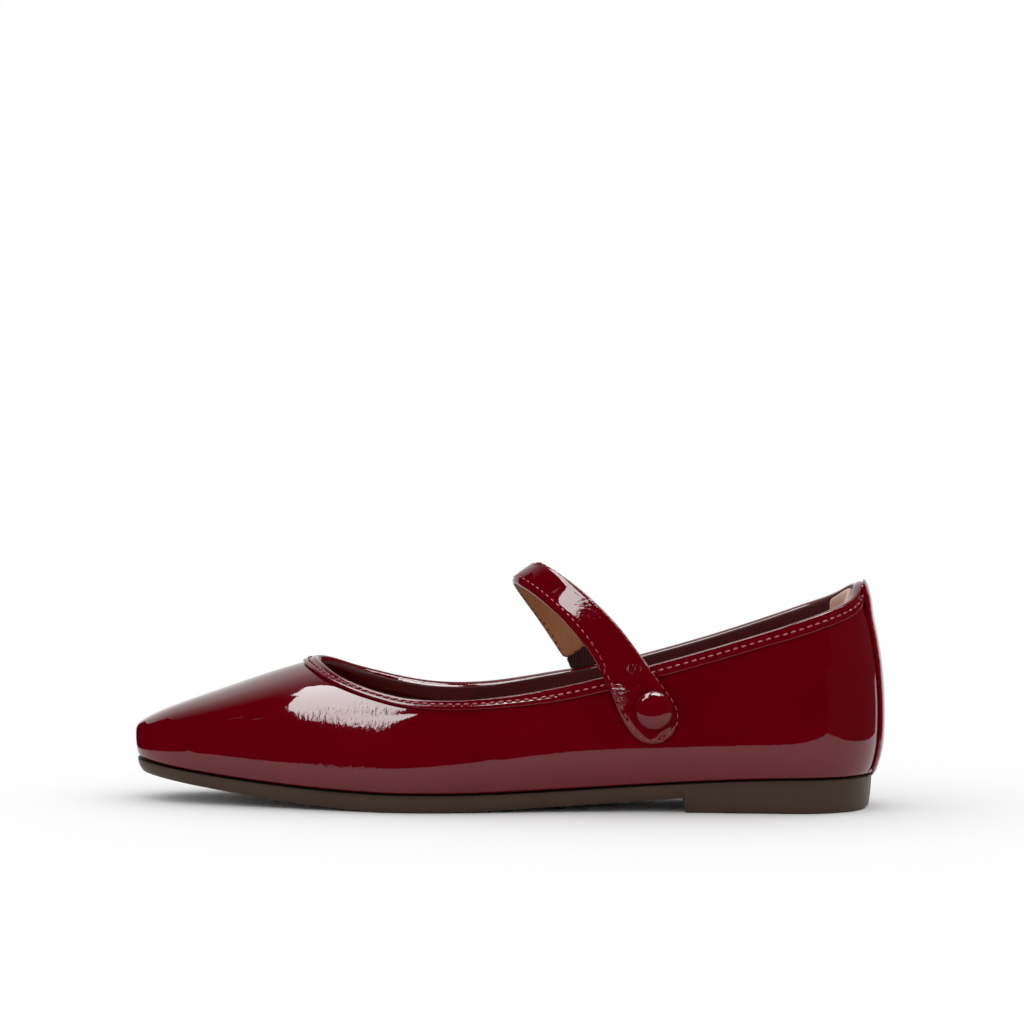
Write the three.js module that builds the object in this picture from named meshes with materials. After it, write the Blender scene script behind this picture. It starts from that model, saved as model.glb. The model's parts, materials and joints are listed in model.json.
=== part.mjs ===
// A left mary jane flat in patent leather, in millimetres.
// While it is built, x runs from the toe tip to the back of the heel, y from the outer side (minus) to the
// inner side (plus), and z up from the floor. The finished group is moved so that the middle of its base is
// the origin.
import * as THREE from "three";

// Whole shoe
const shoeLength = 248; // toe tip to the back of the heel
const ballWidth = 80; // the upper's greatest width
const backHeight = 73.2; // floor to the upper's top edge at the back seam
const instepHeight = 63; // floor to the ridge of the last at mid length
const throatFromToe = 60.5; // toe tip to the front of the opening

// Toe and heel ends of the last
const noseLength = 25; // how far behind the tip the toe starts to close
const toeSquareness = 2.6; // 2 is a round toe, and more is squarer
const noseBluntness = 5; // how suddenly the top of the toe turns down in front
const heelRound = 30; // how far before its back the heel starts to close
const heelSquareness = 2.25;

// Outsole
const heelHeight = 11; // floor to the upper, at the heel
const soleEdge = 5.6; // height of the sole's side under the forefoot
const soleEdgeAtToe = 4; // the same at the toe tip
const toeSpring = 9.9; // floor to the sole's tip
const springFrom = 92; // toe tip to where the sole leaves the floor towards the toe
const springCurve = 1.6; // 1 rises straight from there, and more rises late
const archFrom = 107; // toe tip to where the sole leaves the floor towards the arch
const archHeight = 4.7; // floor to the sole at the front of the heel
const archCurve = 1.25;
const breastFrom = 185; // toe tip to the front of the heel
const breastHollow = 4; // how far the heel's front is hollowed
const breastLean = 0.5; // how far the heel's front leans
const seatFrom = 230; // toe tip to where the seat of the heel is level
const soleEdgeRound = 0.9; // the worn-round bottom edge
const soleTaper = 0.9; // how far the sole's side leans in on its way down
const ledgeAtToe = 0.5; // how far the sole stands out from the upper at the toe
const setInAtHeel = 0.3; // how far it stands in from the upper at the heel

// Upper
const wall = 1.5; // patent leather and its lining
const bellyRise = 16; // the upper's lower edge to its fullest line, at the waist
const tuckIn = 4; // how far the upper draws in from that line to the sole
const tuckCurve = 3; // 1 draws in evenly, and more draws in close to the sole
const sideRound = 1.3; // how upright the sides stand just above that line
const fitGap = 0.3; // between pieces that are glued or sewn together

// Topline binding, folded over the upper's top edge
const bindingThick = 0.75;
const bindingDown = 4.2; // its depth outside
const facingDown = 9; // its depth inside
const beadRise = 1.1; // height of its roll above the upper's edge

// Strip over the back seam
const backStripWidth = 14;
const backStripThick = 0.8;
const backStripOver = 0.1; // how far it stands above the upper's edge
const backStripStep = 4; // length over which it steps up onto the binding

// Insole
const insoleThick = 2.6;
const insoleRoom = 0.6; // between the insole and the upper
const insoleBevel = 0.5;
const insoleDish = 1; // depth of its hollow

// Strap, from its rounded tab on the outer side to its end above the inner topline
const strapThick = 2;
const tabWidth = 18;
const strapWidth = 10.6; // over the instep
const tabFromToe = 177.3; // toe tip to the centre of the tab's round end
const tabDrop = 16.5; // outer topline to that centre, down the side
const crossingFromToe = 166.8; // toe tip to where the strap crosses the outer topline
const strapUpright = 4; // how far it runs straight on above the binding's roll, before its arch
const strapRise = 26.9; // how far its arch stands above the line between its feet
const strapForward = 23.5; // how far its arch leans ahead of that line
const innerEndFromToe = 144; // toe tip to the strap's inner end
const innerEndUp = 7.5; // inner topline to the strap's inner end

// Elastic between the strap's inner end and the topline
const elasticWidth = 9.2;
const elasticThick = 1.1;
const elasticBack = 3; // how far its lower edge lies behind its upper one

// Covered button on the tab
const buttonWidth = 13;
const buttonHeight = 5;
const buttonRim = 1.3; // height of its straight side
const buttonFoot = 0.88; // width of its flat back, as a share of its own
const buttonBack = 1.8; // how far it sits behind the strap's middle line
const buttonUp = 1.4; // how far it sits above the centre of the tab's round end

// How finely the pieces are divided
const turnsAround = 92;
const uprightAt = 0.6; // where the lines up the upper are upright, as a share of the shoe's length
const uprightShare = 0.58; // share of each side's stations ahead of that
const rowsBelowBelly = 3;
const rowsAboveBelly = 10;
const soleStations = 44;
const insoleStations = 28;
const strapStations = 32;
const buttonSides = 24;
const bendsInPlan = 28; // length that a radian of turning counts for when stations are spaced
const bendsUpward = 14;
const turnStep = 0.003; // steps over which a slope is measured
const lengthStep = 0.4;

// Sections of the last. at: share of the shoe's length. axis, outer, inner: where its middle line lies and
// how far each side stands from it, as shares of the ball width. crown: height of its closed top, as a share
// of the instep's. full: 1 is a tent, 2 an ellipse, and more is boxier.
const SECTIONS = [
  { at: 0.0, axis: 0.045, outer: 0.22, inner: 0.225, crown: 0.422, full: 2.7 },
  { at: 0.1, axis: 0.04, outer: 0.315, inner: 0.3, crown: 0.559, full: 2.4 },
  { at: 0.2, axis: 0.03, outer: 0.41, inner: 0.375, crown: 0.694, full: 1.95 },
  { at: 0.3, axis: 0.015, outer: 0.49, inner: 0.435, crown: 0.803, full: 1.45 },
  { at: 0.38, axis: 0.004, outer: 0.525, inner: 0.464, crown: 0.885, full: 1.2 },
  { at: 0.47, axis: 0, outer: 0.5, inner: 0.435, crown: 0.97, full: 1.3 },
  { at: 0.56, axis: 0, outer: 0.443, inner: 0.385, crown: 1.07, full: 1.5 },
  { at: 0.66, axis: 0, outer: 0.4, inner: 0.355, crown: 1.2, full: 1.65 },
  { at: 0.76, axis: 0, outer: 0.386, inner: 0.358, crown: 1.34, full: 1.55 },
  { at: 0.88, axis: 0, outer: 0.388, inner: 0.378, crown: 1.55, full: 1.55 },
  { at: 1.0, axis: 0, outer: 0.385, inner: 0.385, crown: 1.73, full: 1.4 },
];

// The last below its fullest line. at: share of the shoe's length. belly: height of that line over the sole,
// as a share of bellyRise. tuckOuter, tuckInner: shares of tuckIn.
const SIDES = [
  { at: 0.0, belly: 0.52, tuckOuter: 0.3, tuckInner: 0.3 },
  { at: 0.1, belly: 0.52, tuckOuter: 0.42, tuckInner: 0.4 },
  { at: 0.2, belly: 0.56, tuckOuter: 0.55, tuckInner: 0.5 },
  { at: 0.3, belly: 0.6, tuckOuter: 0.7, tuckInner: 0.7 },
  { at: 0.38, belly: 0.64, tuckOuter: 0.8, tuckInner: 0.8 },
  { at: 0.47, belly: 0.76, tuckOuter: 0.9, tuckInner: 1.1 },
  { at: 0.56, belly: 0.9, tuckOuter: 1, tuckInner: 1.6 },
  { at: 0.66, belly: 1, tuckOuter: 1, tuckInner: 1.7 },
  { at: 0.76, belly: 0.98, tuckOuter: 0.95, tuckInner: 1.3 },
  { at: 0.88, belly: 0.98, tuckOuter: 0.9, tuckInner: 0.95 },
  { at: 1.0, belly: 1.2, tuckOuter: 0.75, tuckInner: 0.75 },
];

// Top edge of the upper along the sides, behind the throat. at: share of the shoe's length. outer, inner:
// shares of the back height.
const TOPLINE_SIDES = [
  { at: 0.254, outer: 0.628, inner: 0.631 },
  { at: 0.268, outer: 0.606, inner: 0.61 },
  { at: 0.284, outer: 0.58, inner: 0.586 },
  { at: 0.301, outer: 0.56, inner: 0.567 },
  { at: 0.32, outer: 0.54, inner: 0.548 },
  { at: 0.345, outer: 0.518, inner: 0.526 },
  { at: 0.38, outer: 0.496, inner: 0.504 },
  { at: 0.42, outer: 0.488, inner: 0.496 },
  { at: 0.47, outer: 0.493, inner: 0.506 },
  { at: 0.55, outer: 0.527, inner: 0.551 },
  { at: 0.63, outer: 0.583, inner: 0.599 },
  { at: 0.7, outer: 0.643, inner: 0.662 },
  { at: 0.79, outer: 0.730, inner: 0.754 },
  { at: 0.88, outer: 0.824, inner: 0.858 },
];

// The same edge round the heel. turned: degrees round from straight across. The last row mirrors the one
// before the back seam, so that the edge is level there.
const TOPLINE_HEEL = [
  { turned: 0, outer: 0.824, inner: 0.858 },
  { turned: 25, outer: 0.876, inner: 0.91 },
  { turned: 38, outer: 0.902, inner: 0.941 },
  { turned: 50, outer: 0.923, inner: 0.97 },
  { turned: 61, outer: 0.947, inner: 0.985 },
  { turned: 71, outer: 0.973, inner: 0.993 },
  { turned: 80, outer: 0.992, inner: 0.997 },
  { turned: 90, outer: 1, inner: 1 },
  { turned: 100, outer: 0.992, inner: 0.997 },
];

// The strap's arch, from just above the outer topline to its inner end. way: share of the way. over: share
// of the line between its two feet. up, forward: how far it stands off that line, as shares of strapRise and
// strapForward. lean: degrees by which its rear edge is lifted. width: share of strapWidth.
const STRAP_ARCH = [
  { way: 0, over: 0, up: 0, forward: 0, lean: 28, width: 1.36 },
  { way: 0.12, over: 0.02, up: 0.25, forward: 0.18, lean: 31, width: 1.24 },
  { way: 0.27, over: 0.12, up: 0.57, forward: 0.46, lean: 34, width: 1.12 },
  { way: 0.42, over: 0.28, up: 0.87, forward: 0.8, lean: 37, width: 1.04 },
  { way: 0.55, over: 0.48, up: 1, forward: 1, lean: 37, width: 0.98 },
  { way: 0.7, over: 0.71, up: 0.86, forward: 0.82, lean: 35, width: 0.97 },
  { way: 0.85, over: 0.91, up: 0.49, forward: 0.42, lean: 32, width: 0.96 },
  { way: 1, over: 1, up: 0, forward: 0, lean: 28, width: 0.96 },
];

// Sums that several pieces use

const mix = (a, b, share) => a + (b - a) * share;
const limit = (value) => Math.min(1, Math.max(0, value));
const ease = (share) => share * share * (3 - 2 * share);
const ramp = (value, from, to) => ease(limit((value - from) / (to - from)));
const steps = (count) => Array.from({ length: count + 1 }, (_, i) => i / count);

// A smooth reading of one column of a table, at a value of its key column
function read(rows, key, column, value) {
  const end = rows.length - 1;
  let i = 0;
  while (i < end - 1 && value > rows[i + 1][key]) i += 1;
  const gap = rows[i + 1][key] - rows[i][key];
  const slope = (a, b) => (rows[b][column] - rows[a][column]) / (rows[b][key] - rows[a][key]);
  const before = slope(Math.max(i - 1, 0), i + 1);
  const after = slope(i, Math.min(i + 2, end));
  const t = limit((value - rows[i][key]) / gap);
  const rise = rows[i + 1][column] - rows[i][column];
  return rows[i][column] + rise * ease(t) + gap * (before * t * (1 - t) ** 2 - after * t * t * (1 - t));
}

// The value between low and high at which a falling function passes zero
function solve(falling, low, high) {
  let [a, b] = [low, high];
  for (let step = 0; step < 40; step += 1) {
    const middle = (a + b) / 2;
    if (falling(middle) > 0) a = middle;
    else b = middle;
  }
  return (a + b) / 2;
}

// A line through many points, read by length or by mark. Marks count turning as length too, so that even
// shares of them crowd together in the bends. Past its end the line goes straight on.
function marked(points, lengthPerTurn) {
  const marks = [0];
  const lengths = [0];
  for (let i = 1; i < points.length; i += 1) {
    const step = points[i].clone().sub(points[i - 1]);
    const next = points[Math.min(i + 1, points.length - 1)].clone().sub(points[i]);
    const turn = next.lengthSq() ? next.angleTo(step) : 0;
    lengths.push(lengths[i - 1] + step.length());
    marks.push(marks[i - 1] + step.length() + lengthPerTurn * turn);
  }
  const find = (scale, wanted) => {
    let low = 0;
    let high = points.length - 1;
    while (high - low > 1) {
      const middle = Math.floor((low + high) / 2);
      if (scale[middle] <= wanted) low = middle;
      else high = middle;
    }
    return [low, high, (wanted - scale[low]) / (scale[high] - scale[low])];
  };
  const between = (values, [low, high, t]) => values[low].clone().lerp(values[high], t);
  const findMark = (share) => find(marks, share * marks.at(-1));
  return {
    length: lengths.at(-1),
    atMark: (share) => between(points, findMark(share)),
    atLength: (wanted, values = points) => between(values, find(lengths, wanted)),
    lengthAtMark: (share) => {
      const [low, high, t] = findMark(share);
      return mix(lengths[low], lengths[high], t);
    },
  };
}

// A closed solid from rows of points, each row joined to the next. As a ring, the last row meets the first.
// Otherwise each end is closed by joining its points in pairs.
function solidFromRows(rows, { ring }) {
  const count = rows[0].length;
  const points = rows.flat();
  const faces = [];
  const joins = ring ? rows.length : rows.length - 1;
  for (let i = 0; i < joins; i += 1) {
    const next = (i + 1) % rows.length;
    for (let j = 0; j < count; j += 1) {
      const after = (j + 1) % count;
      const [a, b, c, d] = [i * count + j, i * count + after, next * count + after, next * count + j];
      faces.push([a, b, c], [a, c, d]);
    }
  }
  const last = points.length - count;
  for (let j = 0; !ring && j < count / 2 - 1; j += 1) {
    const k = count - 1 - j;
    faces.push([j, k, k - 1], [j, k - 1, j + 1]);
    faces.push([last + j, last + k - 1, last + k], [last + j, last + j + 1, last + k - 1]);
  }
  const volume = faces.reduce((sum, [a, b, c]) => sum + points[a].dot(points[b].clone().cross(points[c])), 0);
  const outward = volume > 0 ? faces : faces.map(([a, b, c]) => [a, c, b]);
  const geometry = new THREE.BufferGeometry().setFromPoints(points);
  geometry.setIndex(outward.flat());
  geometry.computeVertexNormals();
  return geometry;
}

// The last

const OUTER = { column: "outer", tuck: "tuckOuter", sign: -1 };
const INNER = { column: "inner", tuck: "tuckInner", sign: 1 };
const heelCentre = shoeLength - heelRound;
const section = (column, x) => read(SECTIONS, "at", column, x / shoeLength);
const axisAt = (x) => section("axis", x) * ballWidth;
const bellyAt = (x) => seatAt(x) + read(SIDES, "at", "belly", x / shoeLength) * bellyRise;
const tuckAt = (side, x) => read(SIDES, "at", side.tuck, x / shoeLength) * tuckIn;
const springAt = (x) => limit((springFrom - x) / springFrom) ** springCurve * toeSpring;
const archAt = (x) => limit((x - archFrom) / (breastFrom - archFrom)) ** archCurve * archHeight;

// Floor to the sole's underside, ahead of the heel
const undersideAt = (x) => springAt(x) + archAt(x);

// Floor to the sole's top, on which the upper and the insole rest
function seatAt(x) {
  const forefoot = mix(soleEdgeAtToe, soleEdge, ramp(x, 0, springFrom));
  return springAt(x) + mix(forefoot, heelHeight, ramp(x, archFrom, seatFrom));
}

const squarenessAt = (x) => (x < shoeLength / 2 ? toeSquareness : heelSquareness);

// How far the toe or the heel has closed at x: 0 where it starts, and 1 at its end
function closedAt(x) {
  const nose = limit((noseLength - x) / noseLength) ** toeSquareness;
  const heel = limit((x - heelCentre) / heelRound) ** heelSquareness;
  return nose + heel;
}

// Half width of the last at x, at a share of its fullness
function halfWidthAt(side, x, share = 1) {
  const power = squarenessAt(x);
  return section(side.column, x) * ballWidth * Math.max(0, share ** power - closedAt(x)) ** (1 / power);
}

// Height of the last over a point in plan, from its fullest line up
function heightOver(x, y) {
  const side = y < axisAt(x) ? OUTER : INNER;
  const power = squarenessAt(x);
  const sideways = (Math.abs(y - axisAt(x)) / (section(side.column, x) * ballWidth)) ** power;
  const endways = closedAt(x);
  const share = Math.min(1, (sideways + endways) ** (1 / power));
  const front = x < noseLength ? endways / (sideways + endways) : 0;
  const full = mix(section("full", x), noseBluntness, front);
  const rise = (1 - share ** full) ** (1 / (sideRound + full / 2));
  return mix(bellyAt(x), section("crown", x) * instepHeight, rise);
}

// A line from the front of the shoe to its back, read by a share. At uprightAt of the shoe's length every such
// line is at the same share, so that what runs from one line to another is upright there.
function frontToBack(points, lengthPerTurn) {
  const split = points.findIndex((point) => point.x >= uprightAt * shoeLength);
  const front = marked(points.slice(0, split + 1), lengthPerTurn);
  const back = marked(points.slice(split), lengthPerTurn);
  return (share) => {
    if (share < uprightShare) return front.atMark(share / uprightShare);
    return back.atMark((share - uprightShare) / (1 - uprightShare));
  };
}

// Half of the last's outline in plan at its fullest line, from the toe tip to the back of the heel
function outlineHalf(side) {
  const points = steps(900).map((share) => {
    const x = (shoeLength * (1 - Math.cos(Math.PI * share))) / 2;
    return new THREE.Vector3(x, axisAt(x) + side.sign * halfWidthAt(side, x), 0);
  });
  return frontToBack(points, bendsInPlan);
}

// Half of the upper's top edge, from the front of the throat to the back seam
function toplineHalf(side) {
  const throatHeight = heightOver(throatFromToe, axisAt(throatFromToe));
  const throat = { at: throatFromToe / shoeLength, [side.column]: throatHeight / backHeight };
  const rows = [throat, ...TOPLINE_SIDES];
  const alongSide = steps(500).slice(0, -1).map((share) => {
    const x = mix(throatFromToe, heelCentre, 1 - Math.cos((Math.PI / 2) * share));
    const height = read(rows, "at", side.column, x / shoeLength) * backHeight;
    const belly = bellyAt(x);
    const rise = limit((height - belly) / (section("crown", x) * instepHeight - belly));
    const full = section("full", x);
    const reach = halfWidthAt(side, x, (1 - rise ** (sideRound + full / 2)) ** (1 / full));
    return new THREE.Vector3(x, axisAt(x) + side.sign * reach, height);
  });
  const roundHeel = steps(180).map((share) => {
    const angle = (Math.PI / 2) * share;
    const height = read(TOPLINE_HEEL, "turned", side.column, 90 * share) * backHeight;
    const place = (reach) => [
      heelCentre + reach * Math.sin(angle),
      axisAt(heelCentre) + side.sign * reach * Math.cos(angle),
    ];
    const reach = solve((r) => heightOver(...place(r)) - height, 0, ballWidth / 2);
    return new THREE.Vector3(...place(reach), height);
  });
  return frontToBack([...alongSide, ...roundHeel], bendsInPlan);
}

const outerHalf = { side: OUTER, outline: outlineHalf(OUTER), topline: toplineHalf(OUTER) };
const innerHalf = { side: INNER, outline: outlineHalf(INNER), topline: toplineHalf(INNER) };

// A turn goes once round the shoe: 0 at the toe tip, along the outer side, 0.5 at the back seam, and back
// along the inner side. This gives the half that it lies on and the share along that half.
function halfAt(turn) {
  const once = ((turn % 1) + 1) % 1;
  return once <= 0.5 ? [outerHalf, once * 2] : [innerHalf, 2 - once * 2];
}

// The last's fullest line at a turn, and the way out of the shoe there, in plan
function fullestAt(turn) {
  const place = (t) => {
    const [half, share] = halfAt(t);
    return half.outline(share);
  };
  const along = place(turn + turnStep).sub(place(turn - turnStep));
  return { point: place(turn), outward: new THREE.Vector3(along.y, -along.x, 0).normalize() };
}

// The line up the upper's outside at a turn, from its lower edge to the topline, with the lengths along it at
// which the upper has its rows of points, one of them on the fullest line
const linesUp = new Map();
function lineUp(turn) {
  const key = Math.round(turn * 1e6);
  if (linesUp.has(key)) return linesUp.get(key);
  const [half, share] = halfAt(turn);
  const { point: fullest, outward } = fullestAt(turn);
  const top = half.topline(share);
  const foot = seatAt(fullest.x) + fitGap;
  const belly = bellyAt(fullest.x);
  const low = steps(24).map((up) => {
    const inset = tuckAt(half.side, fullest.x) * (1 - up) ** tuckCurve;
    return fullest.clone().addScaledVector(outward, -inset).setZ(mix(foot, belly, up));
  });
  const high = steps(120).slice(1, -1).map((up) => {
    const point = fullest.clone().lerp(top, up ** 3);
    return point.setZ(heightOver(point.x, point.y));
  });
  const below = marked(low, bendsUpward);
  const above = marked([low.at(-1), ...high, top], bendsUpward);
  const lowRows = steps(rowsBelowBelly).slice(0, -1).map((up) => below.lengthAtMark(up));
  const highRows = steps(rowsAboveBelly).map((up) => below.length + above.lengthAtMark(up));
  const line = { ...marked([...low, ...high, top], bendsUpward), rows: [...lowRows, ...highRows] };
  linesUp.set(key, line);
  return line;
}

// A point of the upper's outside and the way out there. down is the distance below the topline along the
// surface, less than nothing above it, and out is how far the point is moved outwards.
function skin(turn, down, out = 0) {
  const place = (t, d) => {
    const line = lineUp(t);
    return line.atLength(line.length - d);
  };
  const around = place(turn + turnStep, down).sub(place(turn - turnStep, down));
  const up = place(turn, down - lengthStep).sub(place(turn, down + lengthStep));
  const outward = around.cross(up).normalize();
  return { point: place(turn, down).addScaledVector(outward, out), outward };
}

// The turn on one side at which the topline is at x
function toplineTurn(half, x) {
  const share = solve((s) => x - half.topline(s).x, 0, 1);
  return half.side === OUTER ? share / 2 : 1 - share / 2;
}

// Upper

// The line up the outside and the same line one wall further in, joined at both edges, all round the shoe
function upperGeometry() {
  const rows = steps(turnsAround).slice(0, -1).map((turn) => {
    const line = lineUp(turn);
    const downs = line.rows.map((length) => line.length - length);
    const outside = downs.map((down) => skin(turn, down).point);
    const inside = downs.map((down) => skin(turn, down, -wall).point).reverse();
    return [...outside, ...inside];
  });
  return solidFromRows(rows, { ring: true });
}

// Topline binding

const bindingFace = fitGap + bindingThick; // its outside, off the upper's

function bindingGeometry() {
  const insideFace = -(wall + fitGap);
  const rollMiddle = -wall / 2;
  const rollHalf = bindingFace - rollMiddle;
  const rows = steps(turnsAround).slice(0, -1).map((turn) => {
    const place = (down, out) => skin(turn, down, out).point;
    const roll = steps(4).map((share) => {
      const up = fitGap + (beadRise - fitGap) * Math.sin(Math.PI * share);
      return place(-up, rollMiddle + rollHalf * Math.cos(Math.PI * share));
    });
    return [
      place(bindingDown, fitGap),
      place(bindingDown, mix(fitGap, bindingFace, 0.7)),
      place(bindingDown - bindingThick, bindingFace),
      ...roll,
      place(facingDown / 2, insideFace - bindingThick),
      place(facingDown, insideFace - bindingThick),
      place(facingDown, insideFace),
      place(facingDown / 2, insideFace),
      place(-fitGap, insideFace),
      place(-fitGap, fitGap),
    ];
  });
  return solidFromRows(rows, { ring: true });
}

// How far out the back strip lies, on the upper and over its binding
function layOn(down) {
  return mix(bindingFace + 2 * fitGap, fitGap, ramp(down, bindingDown, bindingDown + backStripStep));
}

// Back strip

function backStripGeometry() {
  const bottom = lineUp(0.5).length - fitGap;
  const rows = steps(12).map((up) => {
    const down = mix(bottom, -backStripOver, up);
    const place = (share, thick) => {
      const y = axisAt(shoeLength) + (share - 0.5) * backStripWidth;
      const turn = solve((t) => y - skin(t, down).point.y, 0.4, 0.6);
      const edge = share === 0 || share === 1 ? 0.6 : 1;
      return skin(turn, down, layOn(down) + thick * edge).point;
    };
    const outside = steps(6).map((share) => place(share, backStripThick));
    const inside = steps(6).map((share) => place(share, 0));
    return [...outside, ...inside.reverse()];
  });
  return solidFromRows(rows, { ring: false });
}

// Outsole

// One side of the upper's lower edge in plan, from toe tip to heel back, each point with its way out
function lowerEdge(side) {
  return steps(600).map((share) => {
    const turn = side === OUTER ? share / 2 : 1 - share / 2;
    const { point, outward } = fullestAt(turn);
    if (share === 0 || share === 1) outward.set(share * 2 - 1, 0, 0);
    return { point: point.addScaledVector(outward, -tuckAt(side, point.x)), outward };
  });
}

const lowerEdges = new Map([OUTER, INNER].map((side) => [side, lowerEdge(side)]));

// A point beside that edge at x, moved inwards by inset
function besideEdge(side, x, inset) {
  const edge = lowerEdges.get(side);
  let i = 0;
  while (i < edge.length - 2 && edge[i + 1].point.x < x) i += 1;
  const t = limit((x - edge[i].point.x) / (edge[i + 1].point.x - edge[i].point.x));
  const outward = edge[i].outward.clone().lerp(edge[i + 1].outward, t).normalize();
  return edge[i].point.clone().lerp(edge[i + 1].point, t).addScaledVector(outward, -inset);
}

// Stations along the shoe, close together where its outline turns, and just short of its two ends
function stationsAlong(count) {
  const edge = lowerEdges.get(OUTER).map(({ point }) => point);
  const outline = marked(edge, bendsInPlan);
  const short = 0.01;
  const clear = (x) => Math.min(edge.at(-1).x - short, Math.max(edge[0].x + short, x));
  return steps(count).map((share) => clear(outline.atMark(share).x));
}

// Points straight across the shoe at x, between its two edges, each placed by a function
function acrossShoe(x, inset, count, place) {
  const [from, to] = [besideEdge(OUTER, x, inset), besideEdge(INNER, x, inset)];
  return steps(count).map((share) => place(from.clone().lerp(to, share), 2 * share - 1));
}

// One moulded unit with its heel: sections across the shoe, over the top, down one side, under and up again
function outsoleGeometry() {
  const ledgeAt = (x) => mix(ledgeAtToe, -setInAtHeel, ramp(x, archFrom, seatFrom));
  const stations = stationsAlong(soleStations);
  const distance = (i) => Math.abs(stations[i] - breastFrom);
  const nearest = stations.reduce((best, _, i) => (distance(i) < distance(best) ? i : best), 0);
  stations.splice(nearest, 1, breastFrom, breastFrom + breastLean);
  const rows = stations.map((x) => {
    // The heel's front is hollowed, and the stations beside it follow
    const beside = ramp(Math.abs(x - breastFrom), breastLean, seatFrom - breastFrom);
    const hollow = breastHollow * (1 - beside);
    const line = (inset, height) =>
      acrossShoe(x, inset - ledgeAt(x), 6, (point, side) => {
        point.x += hollow * (1 - side * side);
        return point.setZ(height(point.x));
      });
    const floor = x > breastFrom ? () => 0 : undersideAt;
    const top = line(0, seatAt);
    const middle = line(soleTaper * 0.4, (at) => mix(seatAt(at), floor(at), 0.5));
    const lower = line(soleTaper, (at) => floor(at) + soleEdgeRound);
    const bottom = line(soleTaper + soleEdgeRound, floor);
    return [...top, middle.at(-1), lower.at(-1), ...bottom.reverse(), lower[0], middle[0]];
  });
  return solidFromRows(rows, { ring: false });
}

// Insole

function insoleGeometry() {
  const inset = wall + insoleRoom;
  const rows = stationsAlong(insoleStations).map((x) => {
    const top = acrossShoe(x, inset + insoleBevel, 4, (point, side) => {
      const dish = insoleDish * (1 - side * side);
      return point.setZ(seatAt(point.x) + fitGap + insoleThick - dish);
    });
    const bottom = acrossShoe(x, inset, 4, (point) => point.setZ(seatAt(point.x) + fitGap));
    return [...top, ...bottom.reverse()];
  });
  return solidFromRows(rows, { ring: false });
}

// Strap

const innerEndTurn = toplineTurn(innerHalf, innerEndFromToe);

// The middle line of the strap's inner face, from the tab's end, with the strap's width, the way across it to
// the rear and the way out of it at a length along the line
function strapPath() {
  const points = [];
  const rears = [];
  const widths = [];
  const tabEnd = tabDrop + tabWidth / 2;
  const overRoll = beadRise + strapUpright;
  const overBinding = bindingFace + 2 * fitGap;
  const onSide = (down) => {
    const x = mix(crossingFromToe, tabFromToe, down / tabDrop);
    const off = mix(overBinding, fitGap, limit((down - bindingDown) / (tabEnd - bindingDown)));
    return skin(toplineTurn(outerHalf, x), down, off);
  };
  for (const share of steps(60).slice(0, -1)) {
    const down = mix(tabEnd, -overRoll, share);
    const { point, outward } = onSide(down);
    const along = onSide(down - lengthStep).point.sub(onSide(down + lengthStep).point);
    const width = mix(tabWidth, strapWidth * STRAP_ARCH[0].width, ramp(-down, -tabDrop, overRoll));
    points.push(point);
    rears.push(along.cross(outward).normalize());
    widths.push(new THREE.Vector3(width, 0, 0));
  }
  const foot = onSide(-overRoll).point;
  const innerFoot = skin(innerEndTurn, -innerEndUp, -(wall + strapThick) / 2).point;
  for (const way of steps(120)) {
    const share = (column) => read(STRAP_ARCH, "way", column, way);
    const lean = THREE.MathUtils.degToRad(share("lean"));
    const off = new THREE.Vector3(-share("forward") * strapForward, 0, share("up") * strapRise);
    points.push(foot.clone().lerp(innerFoot, share("over")).add(off));
    rears.push(new THREE.Vector3(Math.cos(lean), 0, Math.sin(lean)));
    widths.push(new THREE.Vector3(share("width") * strapWidth, 0, 0));
  }
  const line = marked(points, 0);
  const frameAt = (length) => {
    const along = line.atLength(length + lengthStep).sub(line.atLength(length - lengthStep)).normalize();
    const rear = line.atLength(length, rears);
    rear.addScaledVector(along, -rear.dot(along)).normalize();
    const out = rear.clone().cross(along);
    return { point: line.atLength(length), along, rear, out, width: line.atLength(length, widths).x };
  };
  return { length: line.length, frameAt };
}

const strap = strapPath();
const tabRadius = tabWidth / 2;

// A point of the strap: side from -1 at its front edge to 1 at its rear edge, and out from its inner face
const onStrap = ({ point, rear, out, width }, side, up, narrowed = 1) =>
  point.clone().addScaledVector(rear, (side * narrowed * width) / 2).addScaledVector(out, up);

function strapGeometry() {
  // Round the tab's end in even steps of angle, then on in even steps of length
  const roundEnd = steps(6).slice(1).map((share) => {
    const angle = (Math.PI / 2) * share;
    return [tabRadius * (1 - Math.cos(angle)), Math.sin(angle)];
  });
  const onwards = steps(strapStations).slice(1).map((share) => [mix(tabRadius, strap.length, share), 1]);
  const rows = [...roundEnd, ...onwards].map(([length, narrowed]) => {
    const frame = strap.frameAt(length);
    const place = (side, up) => onStrap(frame, side, up * strapThick, narrowed);
    return [
      place(-1, 0.2),
      place(-0.96, 0.75),
      place(-0.8, 1),
      place(0, 1),
      place(0.8, 1),
      place(0.96, 0.75),
      place(1, 0.2),
      place(0.9, 0),
      place(0, 0),
      place(-0.9, 0),
    ];
  });
  return solidFromRows(rows, { ring: false });
}

// Elastic

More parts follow.
